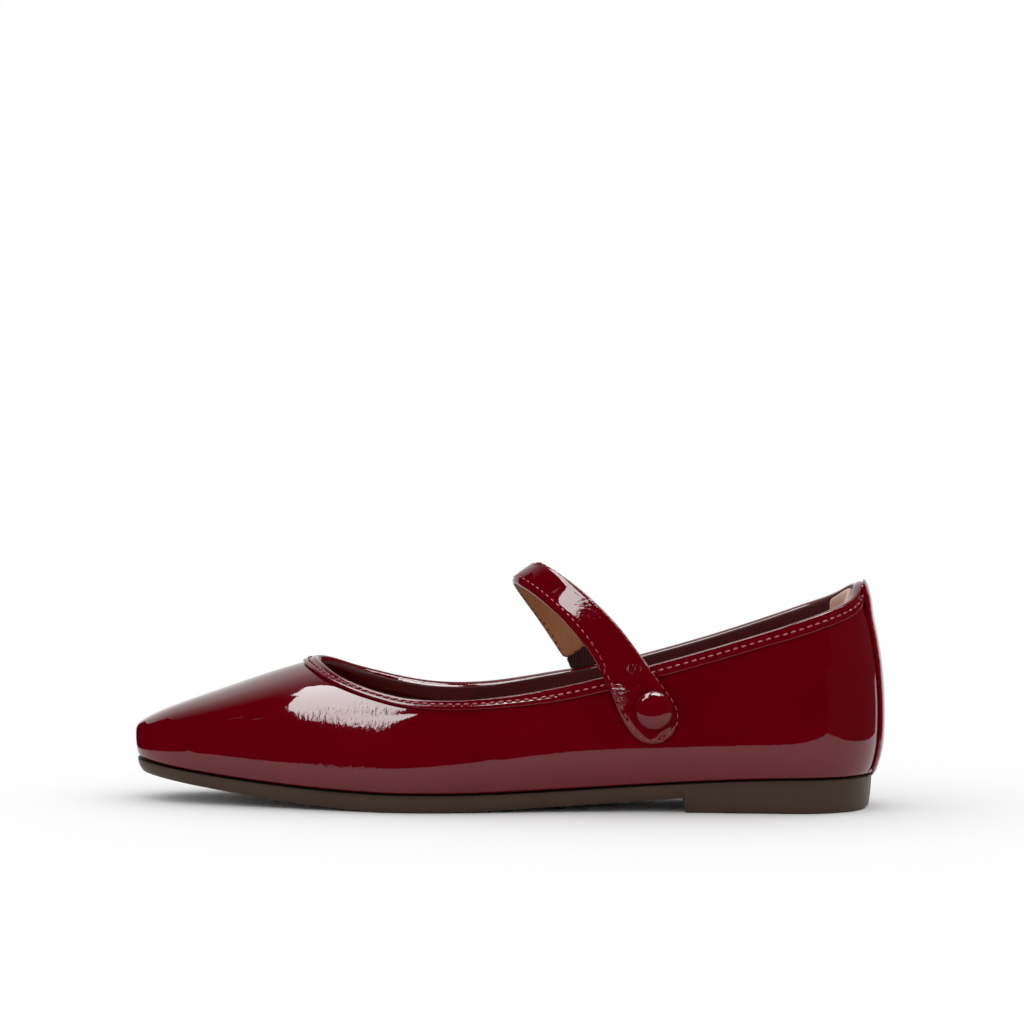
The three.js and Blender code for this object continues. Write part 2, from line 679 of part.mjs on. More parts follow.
// From the strap's inner end down to the roll of the binding, which its lower edge follows
function elasticGeometry() {
  const frame = strap.frameAt(strap.length);
  const toplineAt = (turn) => skin(turn, 0).point;
  const stepLength = toplineAt(innerEndTurn).distanceTo(toplineAt(innerEndTurn + turnStep));
  const turnPerLength = turnStep / stepLength;
  const edges = [[-1, 1], [0, 1], [1, 1], [1, -1], [0, -1], [-1, -1]];
  const top = edges.map(([side, face]) => {
    const up = strapThick / 2 + (face * elasticThick) / 2;
    return onStrap(frame, side, up, elasticWidth / frame.width).addScaledVector(frame.along, fitGap);
  });
  const bottom = edges.map(([side, face]) => {
    const turn = innerEndTurn - ((side * elasticWidth) / 2 + elasticBack) * turnPerLength;
    return skin(turn, -(beadRise + fitGap), (face * elasticThick - wall) / 2).point;
  });
  const rows = steps(3).map((share) => top.map((point, i) => point.clone().lerp(bottom[i], share)));
  return solidFromRows(rows, { ring: false });
}

// Covered button

function buttonMesh(material) {
  const radius = buttonWidth / 2;
  const dome = steps(6).map((share) => {
    const angle = (Math.PI / 2) * share;
    const up = buttonRim + (buttonHeight - buttonRim) * Math.sin(angle);
    return new THREE.Vector2(share === 1 ? 0 : radius * Math.cos(angle), up);
  });
  const profile = [new THREE.Vector2(0, 0), new THREE.Vector2(radius * buttonFoot, 0), ...dome];
  const mesh = new THREE.Mesh(new THREE.LatheGeometry(profile, buttonSides), material);
  const frame = strap.frameAt(tabRadius + buttonUp);
  const side = buttonBack / (frame.width / 2);
  mesh.position.copy(onStrap(frame, side, strapThick + fitGap));
  mesh.quaternion.setFromUnitVectors(new THREE.Vector3(0, 1, 0), frame.out);
  return mesh;
}

// The assembled shoe

const finish = (color, roughness) => new THREE.MeshStandardMaterial({ color, roughness, metalness: 0 });
const patent = () => finish(0x6a0613, 0.1);

const pieces = {
  outsole: new THREE.Mesh(outsoleGeometry(), finish(0x4f352b, 0.55)),
  insole: new THREE.Mesh(insoleGeometry(), finish(0xa8794f, 0.8)),
  upper: new THREE.Mesh(upperGeometry(), patent()),
  topline_binding: new THREE.Mesh(bindingGeometry(), patent()),
  back_strip: new THREE.Mesh(backStripGeometry(), patent()),
  strap: new THREE.Mesh(strapGeometry(), patent()),
  strap_elastic: new THREE.Mesh(elasticGeometry(), finish(0x3a0c12, 0.9)),
  button: buttonMesh(patent()),
};

const shoe = new THREE.Group();
for (const [name, mesh] of Object.entries(pieces)) {
  mesh.name = name;
  shoe.add(mesh);
}
const bounds = new THREE.Box3().setFromObject(shoe, true);
const middle = bounds.getCenter(new THREE.Vector3());
shoe.position.set(-middle.x, -middle.y, -bounds.min.z);

export default shoe;
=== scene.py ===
import json
import math

import bpy
from mathutils import Matrix, Vector

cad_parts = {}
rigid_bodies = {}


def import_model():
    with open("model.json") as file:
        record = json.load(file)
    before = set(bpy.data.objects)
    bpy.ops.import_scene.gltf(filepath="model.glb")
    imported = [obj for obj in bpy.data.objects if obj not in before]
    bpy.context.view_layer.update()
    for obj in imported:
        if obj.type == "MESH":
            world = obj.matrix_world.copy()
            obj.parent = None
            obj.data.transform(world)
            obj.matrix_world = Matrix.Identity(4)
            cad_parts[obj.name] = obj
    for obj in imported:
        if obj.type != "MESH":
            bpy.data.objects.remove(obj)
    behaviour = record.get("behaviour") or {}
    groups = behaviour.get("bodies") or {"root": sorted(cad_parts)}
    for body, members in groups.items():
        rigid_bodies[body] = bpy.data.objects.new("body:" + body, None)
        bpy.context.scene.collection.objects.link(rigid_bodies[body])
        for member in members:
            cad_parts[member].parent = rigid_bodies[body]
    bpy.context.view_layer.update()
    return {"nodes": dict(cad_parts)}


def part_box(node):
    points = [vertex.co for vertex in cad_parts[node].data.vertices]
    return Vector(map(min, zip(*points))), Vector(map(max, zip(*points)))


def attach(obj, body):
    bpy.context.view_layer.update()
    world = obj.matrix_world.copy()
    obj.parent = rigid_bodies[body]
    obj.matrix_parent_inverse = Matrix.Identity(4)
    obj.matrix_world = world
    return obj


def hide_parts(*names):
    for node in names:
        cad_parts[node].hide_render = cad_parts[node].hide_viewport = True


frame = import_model()


# The camera stands about two metres away on the shoe's outer side, a little above it and towards the heel.
# Its long lens keeps the sole nearly level, as in the photograph.
camera_turn = math.radians(6.5)
camera_tilt = math.radians(3.4)
camera_way = Vector((
    -math.sin(camera_turn) * math.cos(camera_tilt),
    math.cos(camera_turn) * math.cos(camera_tilt),
    -math.sin(camera_tilt),
))
camera_place = (0.220, -1.9148, 0.2106)
bpy.ops.object.camera_add(location=camera_place, rotation=camera_way.to_track_quat("-Z", "Y").to_euler())
camera = bpy.context.object
camera.name = "camera"
camera.data.sensor_width = 36
camera.data.lens = 206.4
camera.data.clip_end = 60
bpy.context.scene.camera = camera


# The outsole is one moulded unit of brown rubber, forefoot, waist and low heel together.
# It is cemented to the lasted upper, and its top edge stands just proud of it at the toe.
def choose(piece, wanted):
    """Selects the faces of a piece that pass a test, and leaves it in edit mode."""
    bpy.ops.object.select_all(action="DESELECT")
    piece.select_set(True)
    bpy.context.view_layer.objects.active = piece
    mesh = piece.data
    mesh.vertices.foreach_set("select", [False] * len(mesh.vertices))
    mesh.edges.foreach_set("select", [False] * len(mesh.edges))
    mesh.polygons.foreach_set("select", [bool(wanted(face)) for face in mesh.polygons])
    bpy.ops.object.mode_set(mode="EDIT")


def traced(node, name, bend=50):
    """A new piece over a solid of the frame, with its triangles merged and paired into quads.

    Two triangles make a quad where they are bent to each other by no more than so many degrees.
    """
    bpy.context.tool_settings.mesh_select_mode = (False, False, True)
    piece = bpy.data.objects.new(name, frame["nodes"][node].data.copy())
    bpy.context.collection.objects.link(piece)
    piece.data.materials.clear()
    choose(piece, lambda face: True)
    bpy.ops.mesh.customdata_custom_splitnormals_clear()
    bpy.ops.mesh.remove_doubles(threshold=0.00001)
    bpy.ops.mesh.select_all(action="SELECT")
    bpy.ops.mesh.tris_convert_to_quads(face_threshold=math.radians(bend), shape_threshold=math.radians(70))
    bpy.ops.object.mode_set(mode="OBJECT")
    return piece


def worked(piece, kind, **settings):
    """Adds a modifier with its settings and applies it."""
    bpy.context.view_layer.objects.active = piece
    modifier = piece.modifiers.new(kind, kind)
    for key, value in settings.items():
        setattr(modifier, key, value)
    bpy.ops.object.modifier_apply(modifier=modifier.name)


def smoothed(piece):
    """Subdivides a piece twice to its final shape and shades it smooth."""
    worked(piece, "SUBSURF", levels=2, render_levels=2)
    bpy.ops.object.shade_smooth()


def hex_colour(value):
    """An sRGB hex value as a linear colour with alpha."""
    parts = [((value >> shift) & 255) / 255 for shift in (16, 8, 0)]
    return (*(c / 12.92 if c <= 0.04045 else ((c + 0.055) / 1.055) ** 2.4 for c in parts), 1)


def add(material, kind, inputs=None, **settings):
    """Adds one node with its settings. An input is a value, or another node's output to link."""
    tree = material.node_tree
    made = tree.nodes.new(kind)
    for key, value in settings.items():
        setattr(made, key, value)
    for key, value in (inputs or {}).items():
        if isinstance(value, bpy.types.NodeSocket):
            tree.links.new(value, made.inputs[key])
        else:
            made.inputs[key].default_value = value
    return made


def finish(name, inputs):
    """A material, its shader with these settings, and an output that gives places in metres."""
    material = bpy.data.materials.new(name)
    material.use_nodes = True
    material.node_tree.nodes.clear()
    shader = add(material, "ShaderNodeBsdfPrincipled", inputs)
    add(material, "ShaderNodeOutputMaterial", {"Surface": shader.outputs["BSDF"]})
    place = add(material, "ShaderNodeTexCoord").outputs["Object"]
    return material, shader, place


def wear(material, shader, inputs):
    """Links outputs to the shader's inputs."""
    for key, value in inputs.items():
        material.node_tree.links.new(value, shader.inputs[key])


def dressed(piece, slot, *materials):
    """Gives a piece its materials and its body. The slot is not used."""
    for material in materials:
        piece.data.materials.append(material)
    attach(piece, "root")


def second_material(piece, wanted):
    """Gives the faces of a piece that pass a test its second material."""
    choose(piece, wanted)
    piece.active_material_index = 1
    bpy.ops.object.material_slot_assign()
    bpy.ops.object.mode_set(mode="OBJECT")


# Moulded rubber: satin, with a fine cast texture of about 1 mm and a slightly cloudy brown
moulded_rubber, shader, place = finish("moulded_rubber", {"Roughness": 0.42, "Specular IOR Level": 0.22})
clouds = add(moulded_rubber, "ShaderNodeTexNoise", {"Vector": place, "Scale": 1 / 0.018, "Detail": 5.0})
brown = add(moulded_rubber, "ShaderNodeValToRGB", {"Fac": clouds.outputs["Fac"]})
brown.color_ramp.elements[0].color = hex_colour(0x38281D)
brown.color_ramp.elements[1].color = hex_colour(0x463327)
cast = add(moulded_rubber, "ShaderNodeTexNoise", {"Vector": place, "Scale": 1 / 0.0011, "Detail": 3.0})
relief = add(moulded_rubber, "ShaderNodeBump", {
    "Height": cast.outputs["Fac"], "Distance": 0.0001, "Strength": 0.35,
})
wear(moulded_rubber, shader, {"Base Color": brown.outputs["Color"], "Normal": relief.outputs["Normal"]})

# The tread: the same rubber with ribs 3 mm apart across the shoe, rubbed dull by the floor.
# A wave texture draws about 3.2 bands to the metre at a scale of one.
wave_bands = 3.2
ribbed_tread, shader, place = finish("ribbed_tread", {"Roughness": 0.62, "Specular IOR Level": 0.2})
ribs = add(ribbed_tread, "ShaderNodeTexWave", {
    "Vector": place, "Scale": 1 / 0.003 / wave_bands, "Distortion": 0.6,
})
dust = add(ribbed_tread, "ShaderNodeTexNoise", {"Vector": place, "Scale": 1 / 0.012, "Detail": 6.0})
rubbed = add(ribbed_tread, "ShaderNodeValToRGB", {"Fac": dust.outputs["Fac"]})
rubbed.color_ramp.elements[0].color = hex_colour(0x30241C)
rubbed.color_ramp.elements[1].color = hex_colour(0x423126)
relief = add(ribbed_tread, "ShaderNodeBump", {
    "Height": ribs.outputs["Fac"], "Distance": 0.0005, "Strength": 0.8,
})
wear(ribbed_tread, shader, {"Base Color": rubbed.outputs["Color"], "Normal": relief.outputs["Normal"]})

outsole = traced("outsole", "moulded_outsole")
# At the toe's and the heel's end the top rim has more points than the side below it, so they are joined
toe_end = -0.1237
heel_end = 0.12
rim_gap = 0.0009
bpy.context.tool_settings.mesh_select_mode = (True, False, False)
for point in outsole.data.vertices:
    point.select = not toe_end < point.co.x < heel_end
bpy.ops.object.mode_set(mode="EDIT")
bpy.ops.mesh.remove_doubles(threshold=rim_gap)
bpy.ops.object.mode_set(mode="OBJECT")
# The sole's edges are creased, so that they stay crisp when it is smoothed
choose(outsole, lambda face: True)
bpy.ops.mesh.select_all(action="DESELECT")
bpy.context.tool_settings.mesh_select_mode = (False, True, False)
bpy.ops.mesh.edges_select_sharp(sharpness=math.radians(35))
bpy.ops.transform.edge_crease(value=0.85)
bpy.ops.object.mode_set(mode="OBJECT")
bpy.context.tool_settings.mesh_select_mode = (False, False, True)
smoothed(outsole)
bpy.ops.object.shade_smooth_by_angle(angle=math.radians(40))
dressed(outsole, "sole_rubber", moulded_rubber, ribbed_tread)
second_material(outsole, lambda face: face.normal.z < -0.9)
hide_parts("outsole")


# The insole is a sock of tan leather glued on a thin board inside the shoe.
# Its edge is turned down a little.
# Vegetable-tanned leather: nearly matt, with a grain of about 1 mm and a tan that wear has made cloudy.
vegetable_leather, shader, place = finish("vegetable_leather", {"Roughness": 0.6, "Specular IOR Level": 0.3})
worn = add(vegetable_leather, "ShaderNodeTexNoise", {"Vector": place, "Scale": 1 / 0.05, "Detail": 4.0})
tan = add(vegetable_leather, "ShaderNodeValToRGB", {"Fac": worn.outputs["Fac"]})
tan.color_ramp.elements[0].color = hex_colour(0x935F41)
tan.color_ramp.elements[1].color = hex_colour(0xBC8159)
grain = add(vegetable_leather, "ShaderNodeTexVoronoi", {"Vector": place, "Scale": 1 / 0.0009})
relief = add(vegetable_leather, "ShaderNodeBump", {"Height": grain.outputs["Distance"], "Distance": 0.00012})
wear(vegetable_leather, shader, {"Base Color": tan.outputs["Color"], "Normal": relief.outputs["Normal"]})

insole = traced("insole", "insole_sock")
smoothed(insole)
dressed(insole, "insole_leather", vegetable_leather)
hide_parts("insole")


# The upper is patent leather pulled over the last: a dark red lacquer on leather, lined with pigskin whose
# dark maroon is painted shade.
# The film is not quite flat, so what it mirrors wavers, and it has puckered a little at the vamp's side.
def patent(name, places):
    """Dark red lacquered leather with ripples 14 mm across, and fine creases round each of some places.

    A place is its centre, how far its creases reach, how deep they are, and their size along x, y and z.
    """
    settings = {"Roughness": 0.35, "Specular IOR Level": 0.0, "Coat Weight": 1.0, "Coat Roughness": 0.03}
    leather, shader, place = finish(name, settings)
    depth = add(leather, "ShaderNodeTexNoise", {"Vector": place, "Scale": 1 / 0.03, "Detail": 3.0})
    red = add(leather, "ShaderNodeValToRGB", {"Fac": depth.outputs["Fac"]})
    red.color_ramp.elements[0].color = hex_colour(0x54000A)
    red.color_ramp.elements[1].color = hex_colour(0x66010F)
    wide = add(leather, "ShaderNodeTexNoise", {"Vector": place, "Scale": 1 / 0.014, "Detail": 1.0})
    ripple = add(leather, "ShaderNodeBump", {
        "Height": wide.outputs["Fac"], "Distance": 0.0002, "Strength": 0.08,
    })
    fine = add(leather, "ShaderNodeTexNoise", {"Vector": place, "Scale": 1 / 0.0018, "Detail": 2.0})
    film = add(leather, "ShaderNodeBump", {
        "Height": fine.outputs["Fac"],
        "Normal": ripple.outputs["Normal"],
        "Distance": 0.00002,
        "Strength": 0.4,
    })
    pressed = 0.0
    for centre, reach, crease, fold in places:
        narrow = add(leather, "ShaderNodeMapping", {"Vector": place, "Scale": [1 / width for width in fold]})
        folds = add(leather, "ShaderNodeTexNoise", {
            "Vector": narrow.outputs["Vector"], "Scale": 1.0, "Detail": 3.0,
        })
        away = add(leather, "ShaderNodeVectorMath", {0: place, 1: centre}, operation="DISTANCE")
        near = add(leather, "ShaderNodeMapRange", {
            "Value": away.outputs["Value"],
            "From Min": reach * 0.35,
            "From Max": reach,
            "To Min": crease,
            "To Max": 0.0,
        }, interpolation_type="SMOOTHSTEP")
        pressed = add(leather, "ShaderNodeMath", {
            0: folds.outputs["Fac"], 1: near.outputs["Result"], 2: pressed,
        }, operation="MULTIPLY_ADD").outputs["Value"]
    relief = add(leather, "ShaderNodeBump", {
        "Height": pressed, "Normal": film.outputs["Normal"], "Distance": 0.0003, "Strength": 1.0,
    })
    wear(leather, shader, {
        "Base Color": red.outputs["Color"],
        "Normal": relief.outputs["Normal"],
        "Coat Normal": relief.outputs["Normal"],
    })
    return leather


vamp_pucker = ((-0.05, -0.036, 0.024), 0.023, 0.6, (0.0013, 0.002, 0.006))
vamp_patent = patent("vamp_patent", [vamp_pucker])

# The lining: thin pigskin, matt, with pores about 1 mm apart. Its dark maroon, cloudy over about 20 mm, is
# painted shade: the colour of the shadowed inside of the shoe.
pigskin_painted_shade, shader, place = finish("pigskin_painted_shade", {"Roughness": 0.5, "Specular IOR Level": 0.35})
lining_clouds = add(pigskin_painted_shade, "ShaderNodeTexNoise", {"Vector": place, "Scale": 1 / 0.02, "Detail": 4.0})
# Both maroons are painted shade, the dark colour of the shadowed inside of the shoe.
painted_shade_maroon = add(pigskin_painted_shade, "ShaderNodeValToRGB", {"Fac": lining_clouds.outputs["Fac"]})
painted_shade_maroon.color_ramp.elements[0].color = hex_colour(0x4A1219)
painted_shade_maroon.color_ramp.elements[1].color = hex_colour(0x5E1B22)
pores = add(pigskin_painted_shade, "ShaderNodeTexVoronoi", {"Vector": place, "Scale": 1 / 0.001})
relief = add(pigskin_painted_shade, "ShaderNodeBump", {
    "Height": pores.outputs["Distance"], "Distance": 0.0001, "Strength": 0.6,
})
wear(pigskin_painted_shade, shader, {"Base Color": painted_shade_maroon.outputs["Color"], "Normal": relief.outputs["Normal"]})

# A line along the middle of the room for the foot: its height, and how far it reaches to either side
room_height = 0.024
room_reach = 0.09


def faces_in(face):
    """Whether a face of the shell looks towards the room for the foot."""
    middle = Vector((min(room_reach, max(-room_reach, face.center.x)), 0.0, room_height))
    return face.normal.dot(face.center - middle) < 0


upper = traced("upper", "patent_upper")
smoothed(upper)
dressed(upper, "patent_leather", vamp_patent, pigskin_painted_shade)
# The inside of the upper takes the lining, whose maroon is painted shade.
second_material(upper, faces_in)
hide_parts("upper")


# The heel grip is a soft pad of pinkish suede glued inside the back of the shoe, up to the top edge.
# It is a thin foam with its cover skived at the rim, so that it thins out all round.
# Suede: no shine, only the pale bloom of its nap, which is cloudy over about 4 mm.
suede, shader, place = finish("suede", {"Roughness": 0.95, "Specular IOR Level": 0.1, "Sheen Weight": 0.6})
nap = add(suede, "ShaderNodeTexNoise", {
    "Vector": place, "Scale": 1 / 0.004, "Detail": 6.0, "Roughness": 0.7,
})
pink = add(suede, "ShaderNodeValToRGB", {"Fac": nap.outputs["Fac"]})
pink.color_ramp.elements[0].color = hex_colour(0xB88572)
pink.color_ramp.elements[1].color = hex_colour(0xDDB5A2)
relief = add(suede, "ShaderNodeBump", {"Height": nap.outputs["Fac"], "Distance": 0.0003, "Strength": 0.5})
wear(suede, shader, {"Base Color": pink.outputs["Color"], "Normal": relief.outputs["Normal"]})

blank_front = 0.09
blank_low = 0.03
pad_front = 0.1065
pad_low = 0.042
pad_top = 0.068
pad_lift = 0.0014
pad_thickness = 0.0022
shortest_side = 0.0004


def off_blank(face):
    """Whether a face lies outside the back of the lining, which the pad takes its shape from."""
    return not (faces_in(face) and face.center.x > blank_front and face.center.z > blank_low)


heel_pad = traced("upper", "heel_pad")
choose(heel_pad, off_blank)
bpy.ops.mesh.delete(type="FACE")
# The pad's front, its bottom and its two front corners: a point on each cut, and the way to what stays
cuts = [
    ((pad_front, 0, 0), (1, 0, 0)),
    ((0, 0, pad_low), (0, 0, 1)),
    ((pad_front, 0, pad_low + 0.005), (0.7, 0, 0.7)),
    ((pad_front, 0, pad_top - 0.001), (0.8, 0, -0.6)),
]
for point, kept_side in cuts:
    bpy.ops.mesh.select_all(action="SELECT")
    bpy.ops.mesh.bisect(plane_co=point, plane_no=kept_side, clear_inner=True)
bpy.ops.mesh.select_all(action="SELECT")
bpy.ops.mesh.remove_doubles(threshold=shortest_side)
bpy.ops.mesh.select_all(action="SELECT")
bpy.ops.mesh.normals_make_consistent(inside=True)
bpy.ops.object.mode_set(mode="OBJECT")
inwards = sum(face.normal.x * face.area for face in heel_pad.data.polygons) < 0
choose(heel_pad, lambda face: True)
if not inwards:
    bpy.ops.mesh.flip_normals()
bpy.ops.transform.shrink_fatten(value=pad_lift)
bpy.ops.object.mode_set(mode="OBJECT")
worked(heel_pad, "SOLIDIFY", thickness=pad_thickness, offset=1.0)
smoothed(heel_pad)
dressed(heel_pad, "insole_leather", suede)


# The binding is a strip of the same patent, folded over the top edge all round and rolled into a bead.
# One row of thread near its lower edge holds it.
# Its inner half, of the lining, is the facing inside the collar.
def seam_line(piece, wanted, inset, keep):
    """The line that a machine sews at a distance inside the edge of some of a piece's faces."""
    choose(piece, wanted)
    before = set(bpy.data.objects)
    bpy.ops.mesh.duplicate()
    bpy.ops.mesh.separate(type="SELECTED")
    bpy.ops.object.mode_set(mode="OBJECT")
    guide = (set(bpy.data.objects) - before).pop()
    choose(guide, lambda face: True)
    bpy.ops.mesh.inset(thickness=inset, use_boundary=True)
    bpy.ops.mesh.region_to_loop()
    bpy.ops.mesh.select_all(action="INVERT")
    bpy.ops.mesh.delete(type="EDGE")
    bpy.ops.object.mode_set(mode="OBJECT")
    bpy.context.tool_settings.mesh_select_mode = (False, False, True)
    bpy.ops.object.convert(target="CURVE")
    lines = [[point.co.xyz for point in spline.points] for spline in bpy.context.object.data.splines]
    bpy.data.objects.remove(bpy.context.object)
    return keep(lines)


def sewn(name, piece, line, stitch, pitch, thickness, proud, material):
    """A row of stitches along a closed line on a piece, each one a copy of the first.

    A stitch's middle stands proud of the piece, or lies below its surface where that is negative.
    """
    bpy.ops.object.select_all(action="DESELECT")
    bpy.ops.mesh.primitive_uv_sphere_add(segments=8, ring_count=6, radius=1)
    pattern = bpy.context.object
    bpy.ops.object.mode_set(mode="EDIT")
    bpy.ops.transform.resize(value=(stitch / 2, thickness / 2, thickness / 2))
    bpy.ops.object.mode_set(mode="OBJECT")
    bpy.ops.object.shade_smooth()
    closed = line + [line[0]]
    lengths = [0.0]
    for start, end in zip(closed, closed[1:]):
        lengths.append(lengths[-1] + (end - start).length)

    def at(length):
        """The point so far along the line, which starts again at its end."""
        length %= lengths[-1]
        i = max(k for k in range(len(line)) if lengths[k] <= length)
        return closed[i].lerp(closed[i + 1], (length - lengths[i]) / (lengths[i + 1] - lengths[i]))

    count = round(lengths[-1] / pitch)
    row = []
    for i in range(count):
        length = lengths[-1] * i / count
        _, spot, out, _ = piece.closest_point_on_mesh(at(length))
        along = at(length + stitch / 2) - at(length - stitch / 2)
        along = (along - out * along.dot(out)).normalized()
        turn = Matrix((along, out.cross(along), out)).transposed().to_4x4()
        copy = bpy.data.objects.new(name, pattern.data.copy())
        copy.data.transform(Matrix.Translation(spot + out * proud) @ turn)
        bpy.context.collection.objects.link(copy)
        row.append(copy)
    bpy.data.objects.remove(pattern)
    bpy.ops.object.select_all(action="DESELECT")
    for copy in row:
        copy.select_set(True)
    bpy.context.view_layer.objects.active = row[0]
    bpy.ops.object.join()
    row[0].name = name
    dressed(row[0], "patent_leather", material)


def thread(name, colour):
    """Waxed polyester thread, softly shining, with the slant of its twist.

    The twist is drawn 0.6 mm apart, coarser than it is, so that it shows.
    """
    dyed, shader, place = finish(name, {
        "Roughness": 0.28, "Specular IOR Level": 0.6, "Base Color": hex_colour(colour),
    })
    twist = add(dyed, "ShaderNodeTexWave", {
        "Vector": place, "Scale": 1 / 0.0006 / wave_bands,
    }, bands_direction="DIAGONAL")
    relief = add(dyed, "ShaderNodeBump", {"Height": twist.outputs["Fac"], "Distance": 0.00006})
    wear(dyed, shader, {"Normal": relief.outputs["Normal"]})
    return dyed


# This thread's red is lighter than the leather's: its own colour with a painted highlight for the glints
# along the stitch rows.
red_thread_painted_glint = thread("red_thread_painted_glint", 0x983642)
edge_pucker = ((0.0, 0.0, 0.05), 1.0, 0.15, (0.0014, 0.0014, 0.004))
binding_patent = patent("binding_patent", [edge_pucker])
lip = 0.0007
groove_width = 0.0004
groove_depth = 0.0003
narrowest = 0.0014
stands_off = 0.0006
seam_margin = 0.0014


def band_face(face):
    """Whether a face is on the flat outer band.

    It stands off the upper behind it there, and isn't a narrow one of a bend.
    """
    _, behind, _, _ = upper.closest_point_on_mesh(face.center)
    corners = [binding.data.vertices[i].co for i in face.vertices]
    sides = [(start - end).length for start, end in zip(corners, corners[1:] + corners[:1])]
    off = (face.center - behind).dot(face.normal)
    return not faces_in(face) and min(sides) > narrowest and off > stands_off


def lowest(lines):
    """The line that lies lowest, along the band's lower edge."""
    return min(lines, key=lambda line: sum(point.z for point in line) / len(line))


binding = traced("topline_binding", "rolled_binding", bend=18)
band = seam_line(binding, band_face, seam_margin, lowest)
choose(binding, band_face)
bpy.ops.mesh.inset(thickness=lip, use_boundary=True)
bpy.ops.mesh.inset(thickness=groove_width, depth=-groove_depth, use_boundary=True)
bpy.ops.object.mode_set(mode="OBJECT")
smoothed(binding)
dressed(binding, "patent_leather", binding_patent, pigskin_painted_shade)
# The facing takes the lining, whose maroon is painted shade.
second_material(binding, lambda face: faces_in(face) and abs(face.normal.z) < 0.5)
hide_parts("topline_binding")
sewn(
    "binding_stitches", binding, band,
    stitch=0.0021, pitch=0.0028, thickness=0.0007, proud=0.0002, material=red_thread_painted_glint,
)


# The back strip covers the closing seam at the heel, from the sole to the top edge of the collar.
# It is cut from the same patent and sewn down on both edges.
def thickened(piece, wanted, amount):
    """Moves the faces of a piece that pass a test outwards."""
    choose(piece, wanted)
    bpy.ops.transform.shrink_fatten(value=amount)
    bpy.ops.object.mode_set(mode="OBJECT")


def longest(lines):
    """The line with the most points, which goes round the whole piece."""
    return max(lines, key=len)


collar_low = 0.069
back_strip = traced("back_strip", "heel_strip")
strip_line = seam_line(back_strip, lambda face: face.normal.x > 0.5, seam_margin, longest)
# Its inner side is let into the upper, and further at the collar, so that no gap shows behind it
thickened(back_strip, lambda face: face.normal.x < -0.3, 0.0006)
thickened(back_strip, lambda face: face.normal.x < -0.3 and face.center.z > collar_low, 0.0009)
smoothed(back_strip)
dressed(back_strip, "patent_leather", binding_patent)
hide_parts("back_strip")
sewn(
    "heel_strip_stitches", back_strip, strip_line,
    stitch=0.0021, pitch=0.0030, thickness=0.0004, proud=-0.0001, material=red_thread_painted_glint,
)


# The strap is patent outside and tan leather inside, sewn together along both edges and round the tab.
# It springs up over the instep from the outer side, where the button holds it.
strap = traced("strap", "instep_strap")
low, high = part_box("strap")
under = Vector(((low[0] + high[0]) / 2, 0.0, low[2]))


def looks_out(face):
    """How squarely a face of the strap looks away from the foot, from 1 straight out to -1 straight in."""
    return face.normal.dot((face.center - under).normalized())


lining_margin = 0.0006
crown_margin = 0.0022
crown = 0.0004
outer_line = seam_line(strap, lambda face: looks_out(face) > 0.6, seam_margin, longest)
inner_line = seam_line(strap, lambda face: looks_out(face) < -0.6, lining_margin, longest)
choose(strap, lambda face: looks_out(face) > 0.6)
bpy.ops.mesh.inset(thickness=crown_margin, use_boundary=True)
bpy.ops.transform.shrink_fatten(value=crown)
bpy.ops.object.mode_set(mode="OBJECT")
smoothed(strap)
upper_gathers = ((0.0455, -0.033, 0.0455), 0.0065, 4.5, (0.001, 0.004, 0.005))
lower_gathers = ((0.0395, -0.033, 0.0395), 0.0055, 4.0, (0.006, 0.004, 0.001))
bend_creases = ((0.0315, -0.024, 0.066), 0.009, 0.7, (0.005, 0.005, 0.0011))
strap_patent = patent("strap_patent", [upper_gathers, lower_gathers, bend_creases])
dressed(strap, "patent_leather", strap_patent, vegetable_leather)
second_material(strap, lambda face: looks_out(face) < -0.5)
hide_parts("strap")
tan_thread = thread("tan_thread", 0x5A3320)
sewn(
    "strap_stitches", strap, outer_line,
    stitch=0.0018, pitch=0.0027, thickness=0.0005, proud=-0.00005, material=red_thread_painted_glint,
)
sewn(
    "strap_lining_stitches", strap, inner_line,
    stitch=0.0012, pitch=0.0027, thickness=0.0005, proud=0.0001, material=tan_thread,
)


# The elastic is a short piece of ribbed dark red webbing, sewn to the strap's inner end and to the topline.
# It gives when the shoe is put on, so that the button stays done up.
# Woven webbing: matt, with cords 1.1 mm apart and painted shade in the grooves where they meet.
webbing, shader, place = finish("webbing", {
    "Roughness": 0.85, "Specular IOR Level": 0.2, "Sheen Weight": 0.3,
})
cords = add(webbing, "ShaderNodeTexWave", {"Vector": place, "Scale": 1 / 0.0011 / wave_bands})
# The ramp darkens the grooves between the cords: painted shade.
cords_painted_shade = add(webbing, "ShaderNodeValToRGB", {"Fac": cords.outputs["Fac"]})
cords_painted_shade.color_ramp.elements[0].color = hex_colour(0x25060B)
cords_painted_shade.color_ramp.elements[1].color = hex_colour(0x4C1019)
relief = add(webbing, "ShaderNodeBump", {"Height": cords.outputs["Fac"], "Distance": 0.0003})
wear(webbing, shader, {"Base Color": cords_painted_shade.outputs["Color"], "Normal": relief.outputs["Normal"]})

elastic = traced("strap_elastic", "ribbed_elastic")
thickened(elastic, lambda face: abs(face.normal.z) > 0.6, 0.0008)
smoothed(elastic)
dressed(elastic, "elastic", webbing)
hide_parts("strap_elastic")


# The button is a dome of metal covered with the same patent, pressed together at its rim.
# It is sewn through the tab, and the leather round it has gathered.
button = traced("button", "covered_button")
smoothed(button)
dressed(button, "patent_leather", binding_patent)
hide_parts("button")


# The studio: a pale floor in an even white room, with cards that show only in the patent's shine.
# Dark ones in front keep the side of the shoe a deep red, and bright ones above make its highlights.
pale_floor, _, _ = finish("pale_floor", {"Roughness": 1.0, "Base Color": hex_colour(0xFFFFFF)})
bpy.ops.mesh.primitive_plane_add(size=16, location=(0, 0, 0))
floor = bpy.context.object
floor.name = "floor"
floor.data.materials.append(pale_floor)


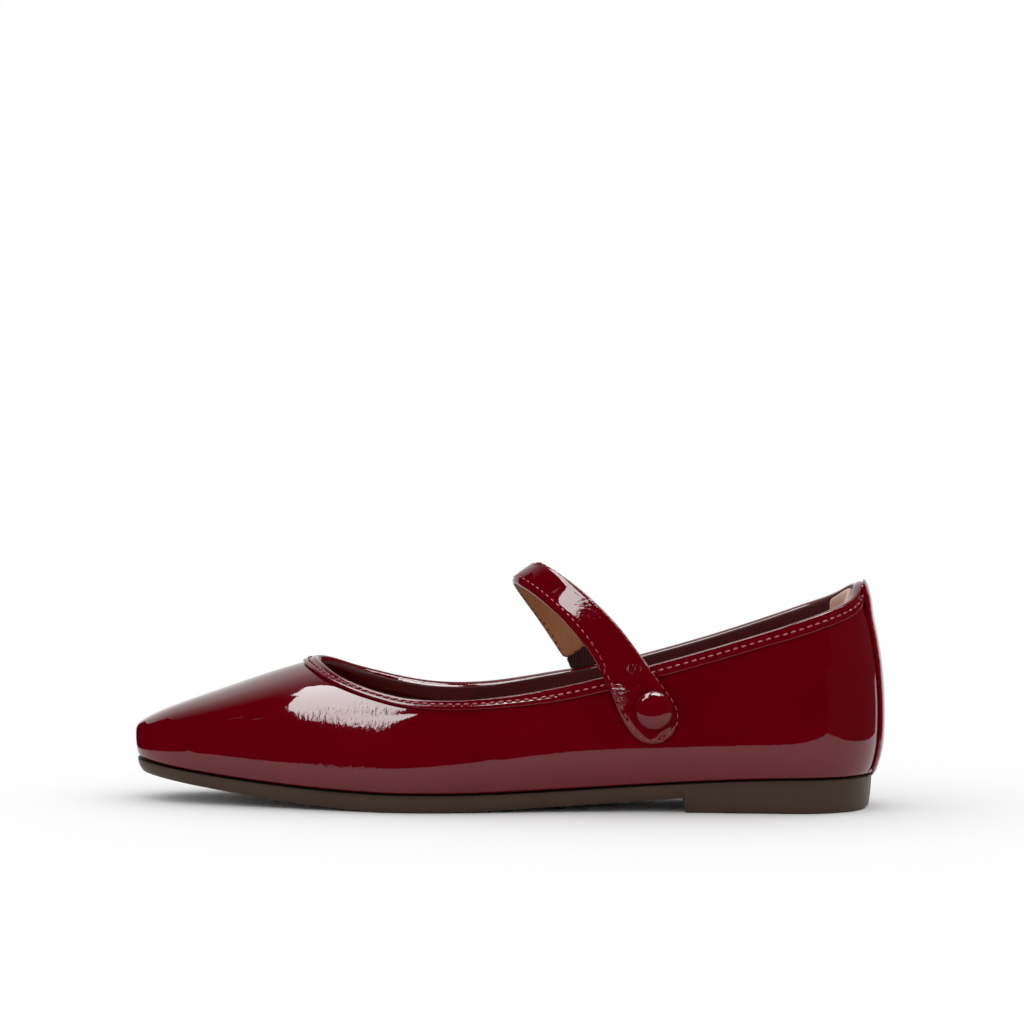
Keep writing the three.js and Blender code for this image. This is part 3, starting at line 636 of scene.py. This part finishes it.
def card(name, strength, location, rotation, size):
    """A card that shows in the shine alone, glowing as brightly as it says."""
    card_face, shader, place = finish(name, {
        "Roughness": 1.0, "Base Color": (0, 0, 0, 1), "Specular IOR Level": 0.0,
        "Emission Color": (1, 1, 1, 1), "Emission Strength": strength,
    })
    turns = [math.radians(turn) for turn in rotation]
    bpy.ops.mesh.primitive_plane_add(size=1, location=location, rotation=turns)
    made = bpy.context.object
    made.name = name
    made.scale = (*size, 1)
    made.data.materials.append(card_face)
    made.visible_camera = False
    made.visible_diffuse = False
    made.visible_shadow = False
    return card_face, shader, place


card("front_card", 0.0, (-0.1, -0.6, 0.65), (90, 0, 0), (2.0, 1.3))
card("toe_card", 0.0, (-0.85, -0.05, 0.45), (90, 0, 90), (1.1, 0.9))
card("heel_card", 0.035, (0.9, 0.5, 0.65), (90, 0, 90), (2.2, 1.3))
card("front_edge_card", 0.0, (-0.02, -0.115, 0.03), (90, 0, -8), (0.7, 0.06))
card("toe_edge_card", 0.0, (-0.185, 0.02, 0.035), (90, 0, 90), (0.2, 0.07))
card("heel_edge_card", 0.035, (0.235, 0.0, 0.04), (90, 0, 90), (0.32, 0.08))
card("vamp_card", 11.0, (-0.52, -0.33, 1.03), (0, 0, -17), (0.32, 1.3))
card("strap_card", 11.0, (-0.102, -0.114, 0.192), (51, 0, -53), (0.026, 0.062))
card("collar_card", 16.0, (0.17, -0.17, 1.1), (9, 0, 0), (0.64, 0.36))
card("bead_card", 18.0, (0.4, 0.15, 1.2), (0, 0, 0), (0.9, 0.12))

# The ceiling's glow fades from one long edge towards the other
ceiling, shader, place = card("ceiling_card", 1.0, (0, 0.35, 1.3), (180, 0, 0), (3.0, 1.9))
across = add(ceiling, "ShaderNodeSeparateXYZ", {"Vector": place}).outputs["Y"]
fade = add(ceiling, "ShaderNodeMapRange", {
    "Value": across, "From Min": 0.1, "From Max": -0.5, "To Min": 0.0, "To Max": 1.0,
})
wear(ceiling, shader, {"Emission Strength": fade.outputs["Result"]})

# The even white room
world = bpy.data.worlds.new("white_room")
world.use_nodes = True
world.node_tree.nodes["Background"].inputs["Color"].default_value = hex_colour(0xFFFFFF)
world.node_tree.nodes["Background"].inputs["Strength"].default_value = 1.0
bpy.context.scene.world = world
bpy.context.scene.view_settings.view_transform = "Standard"
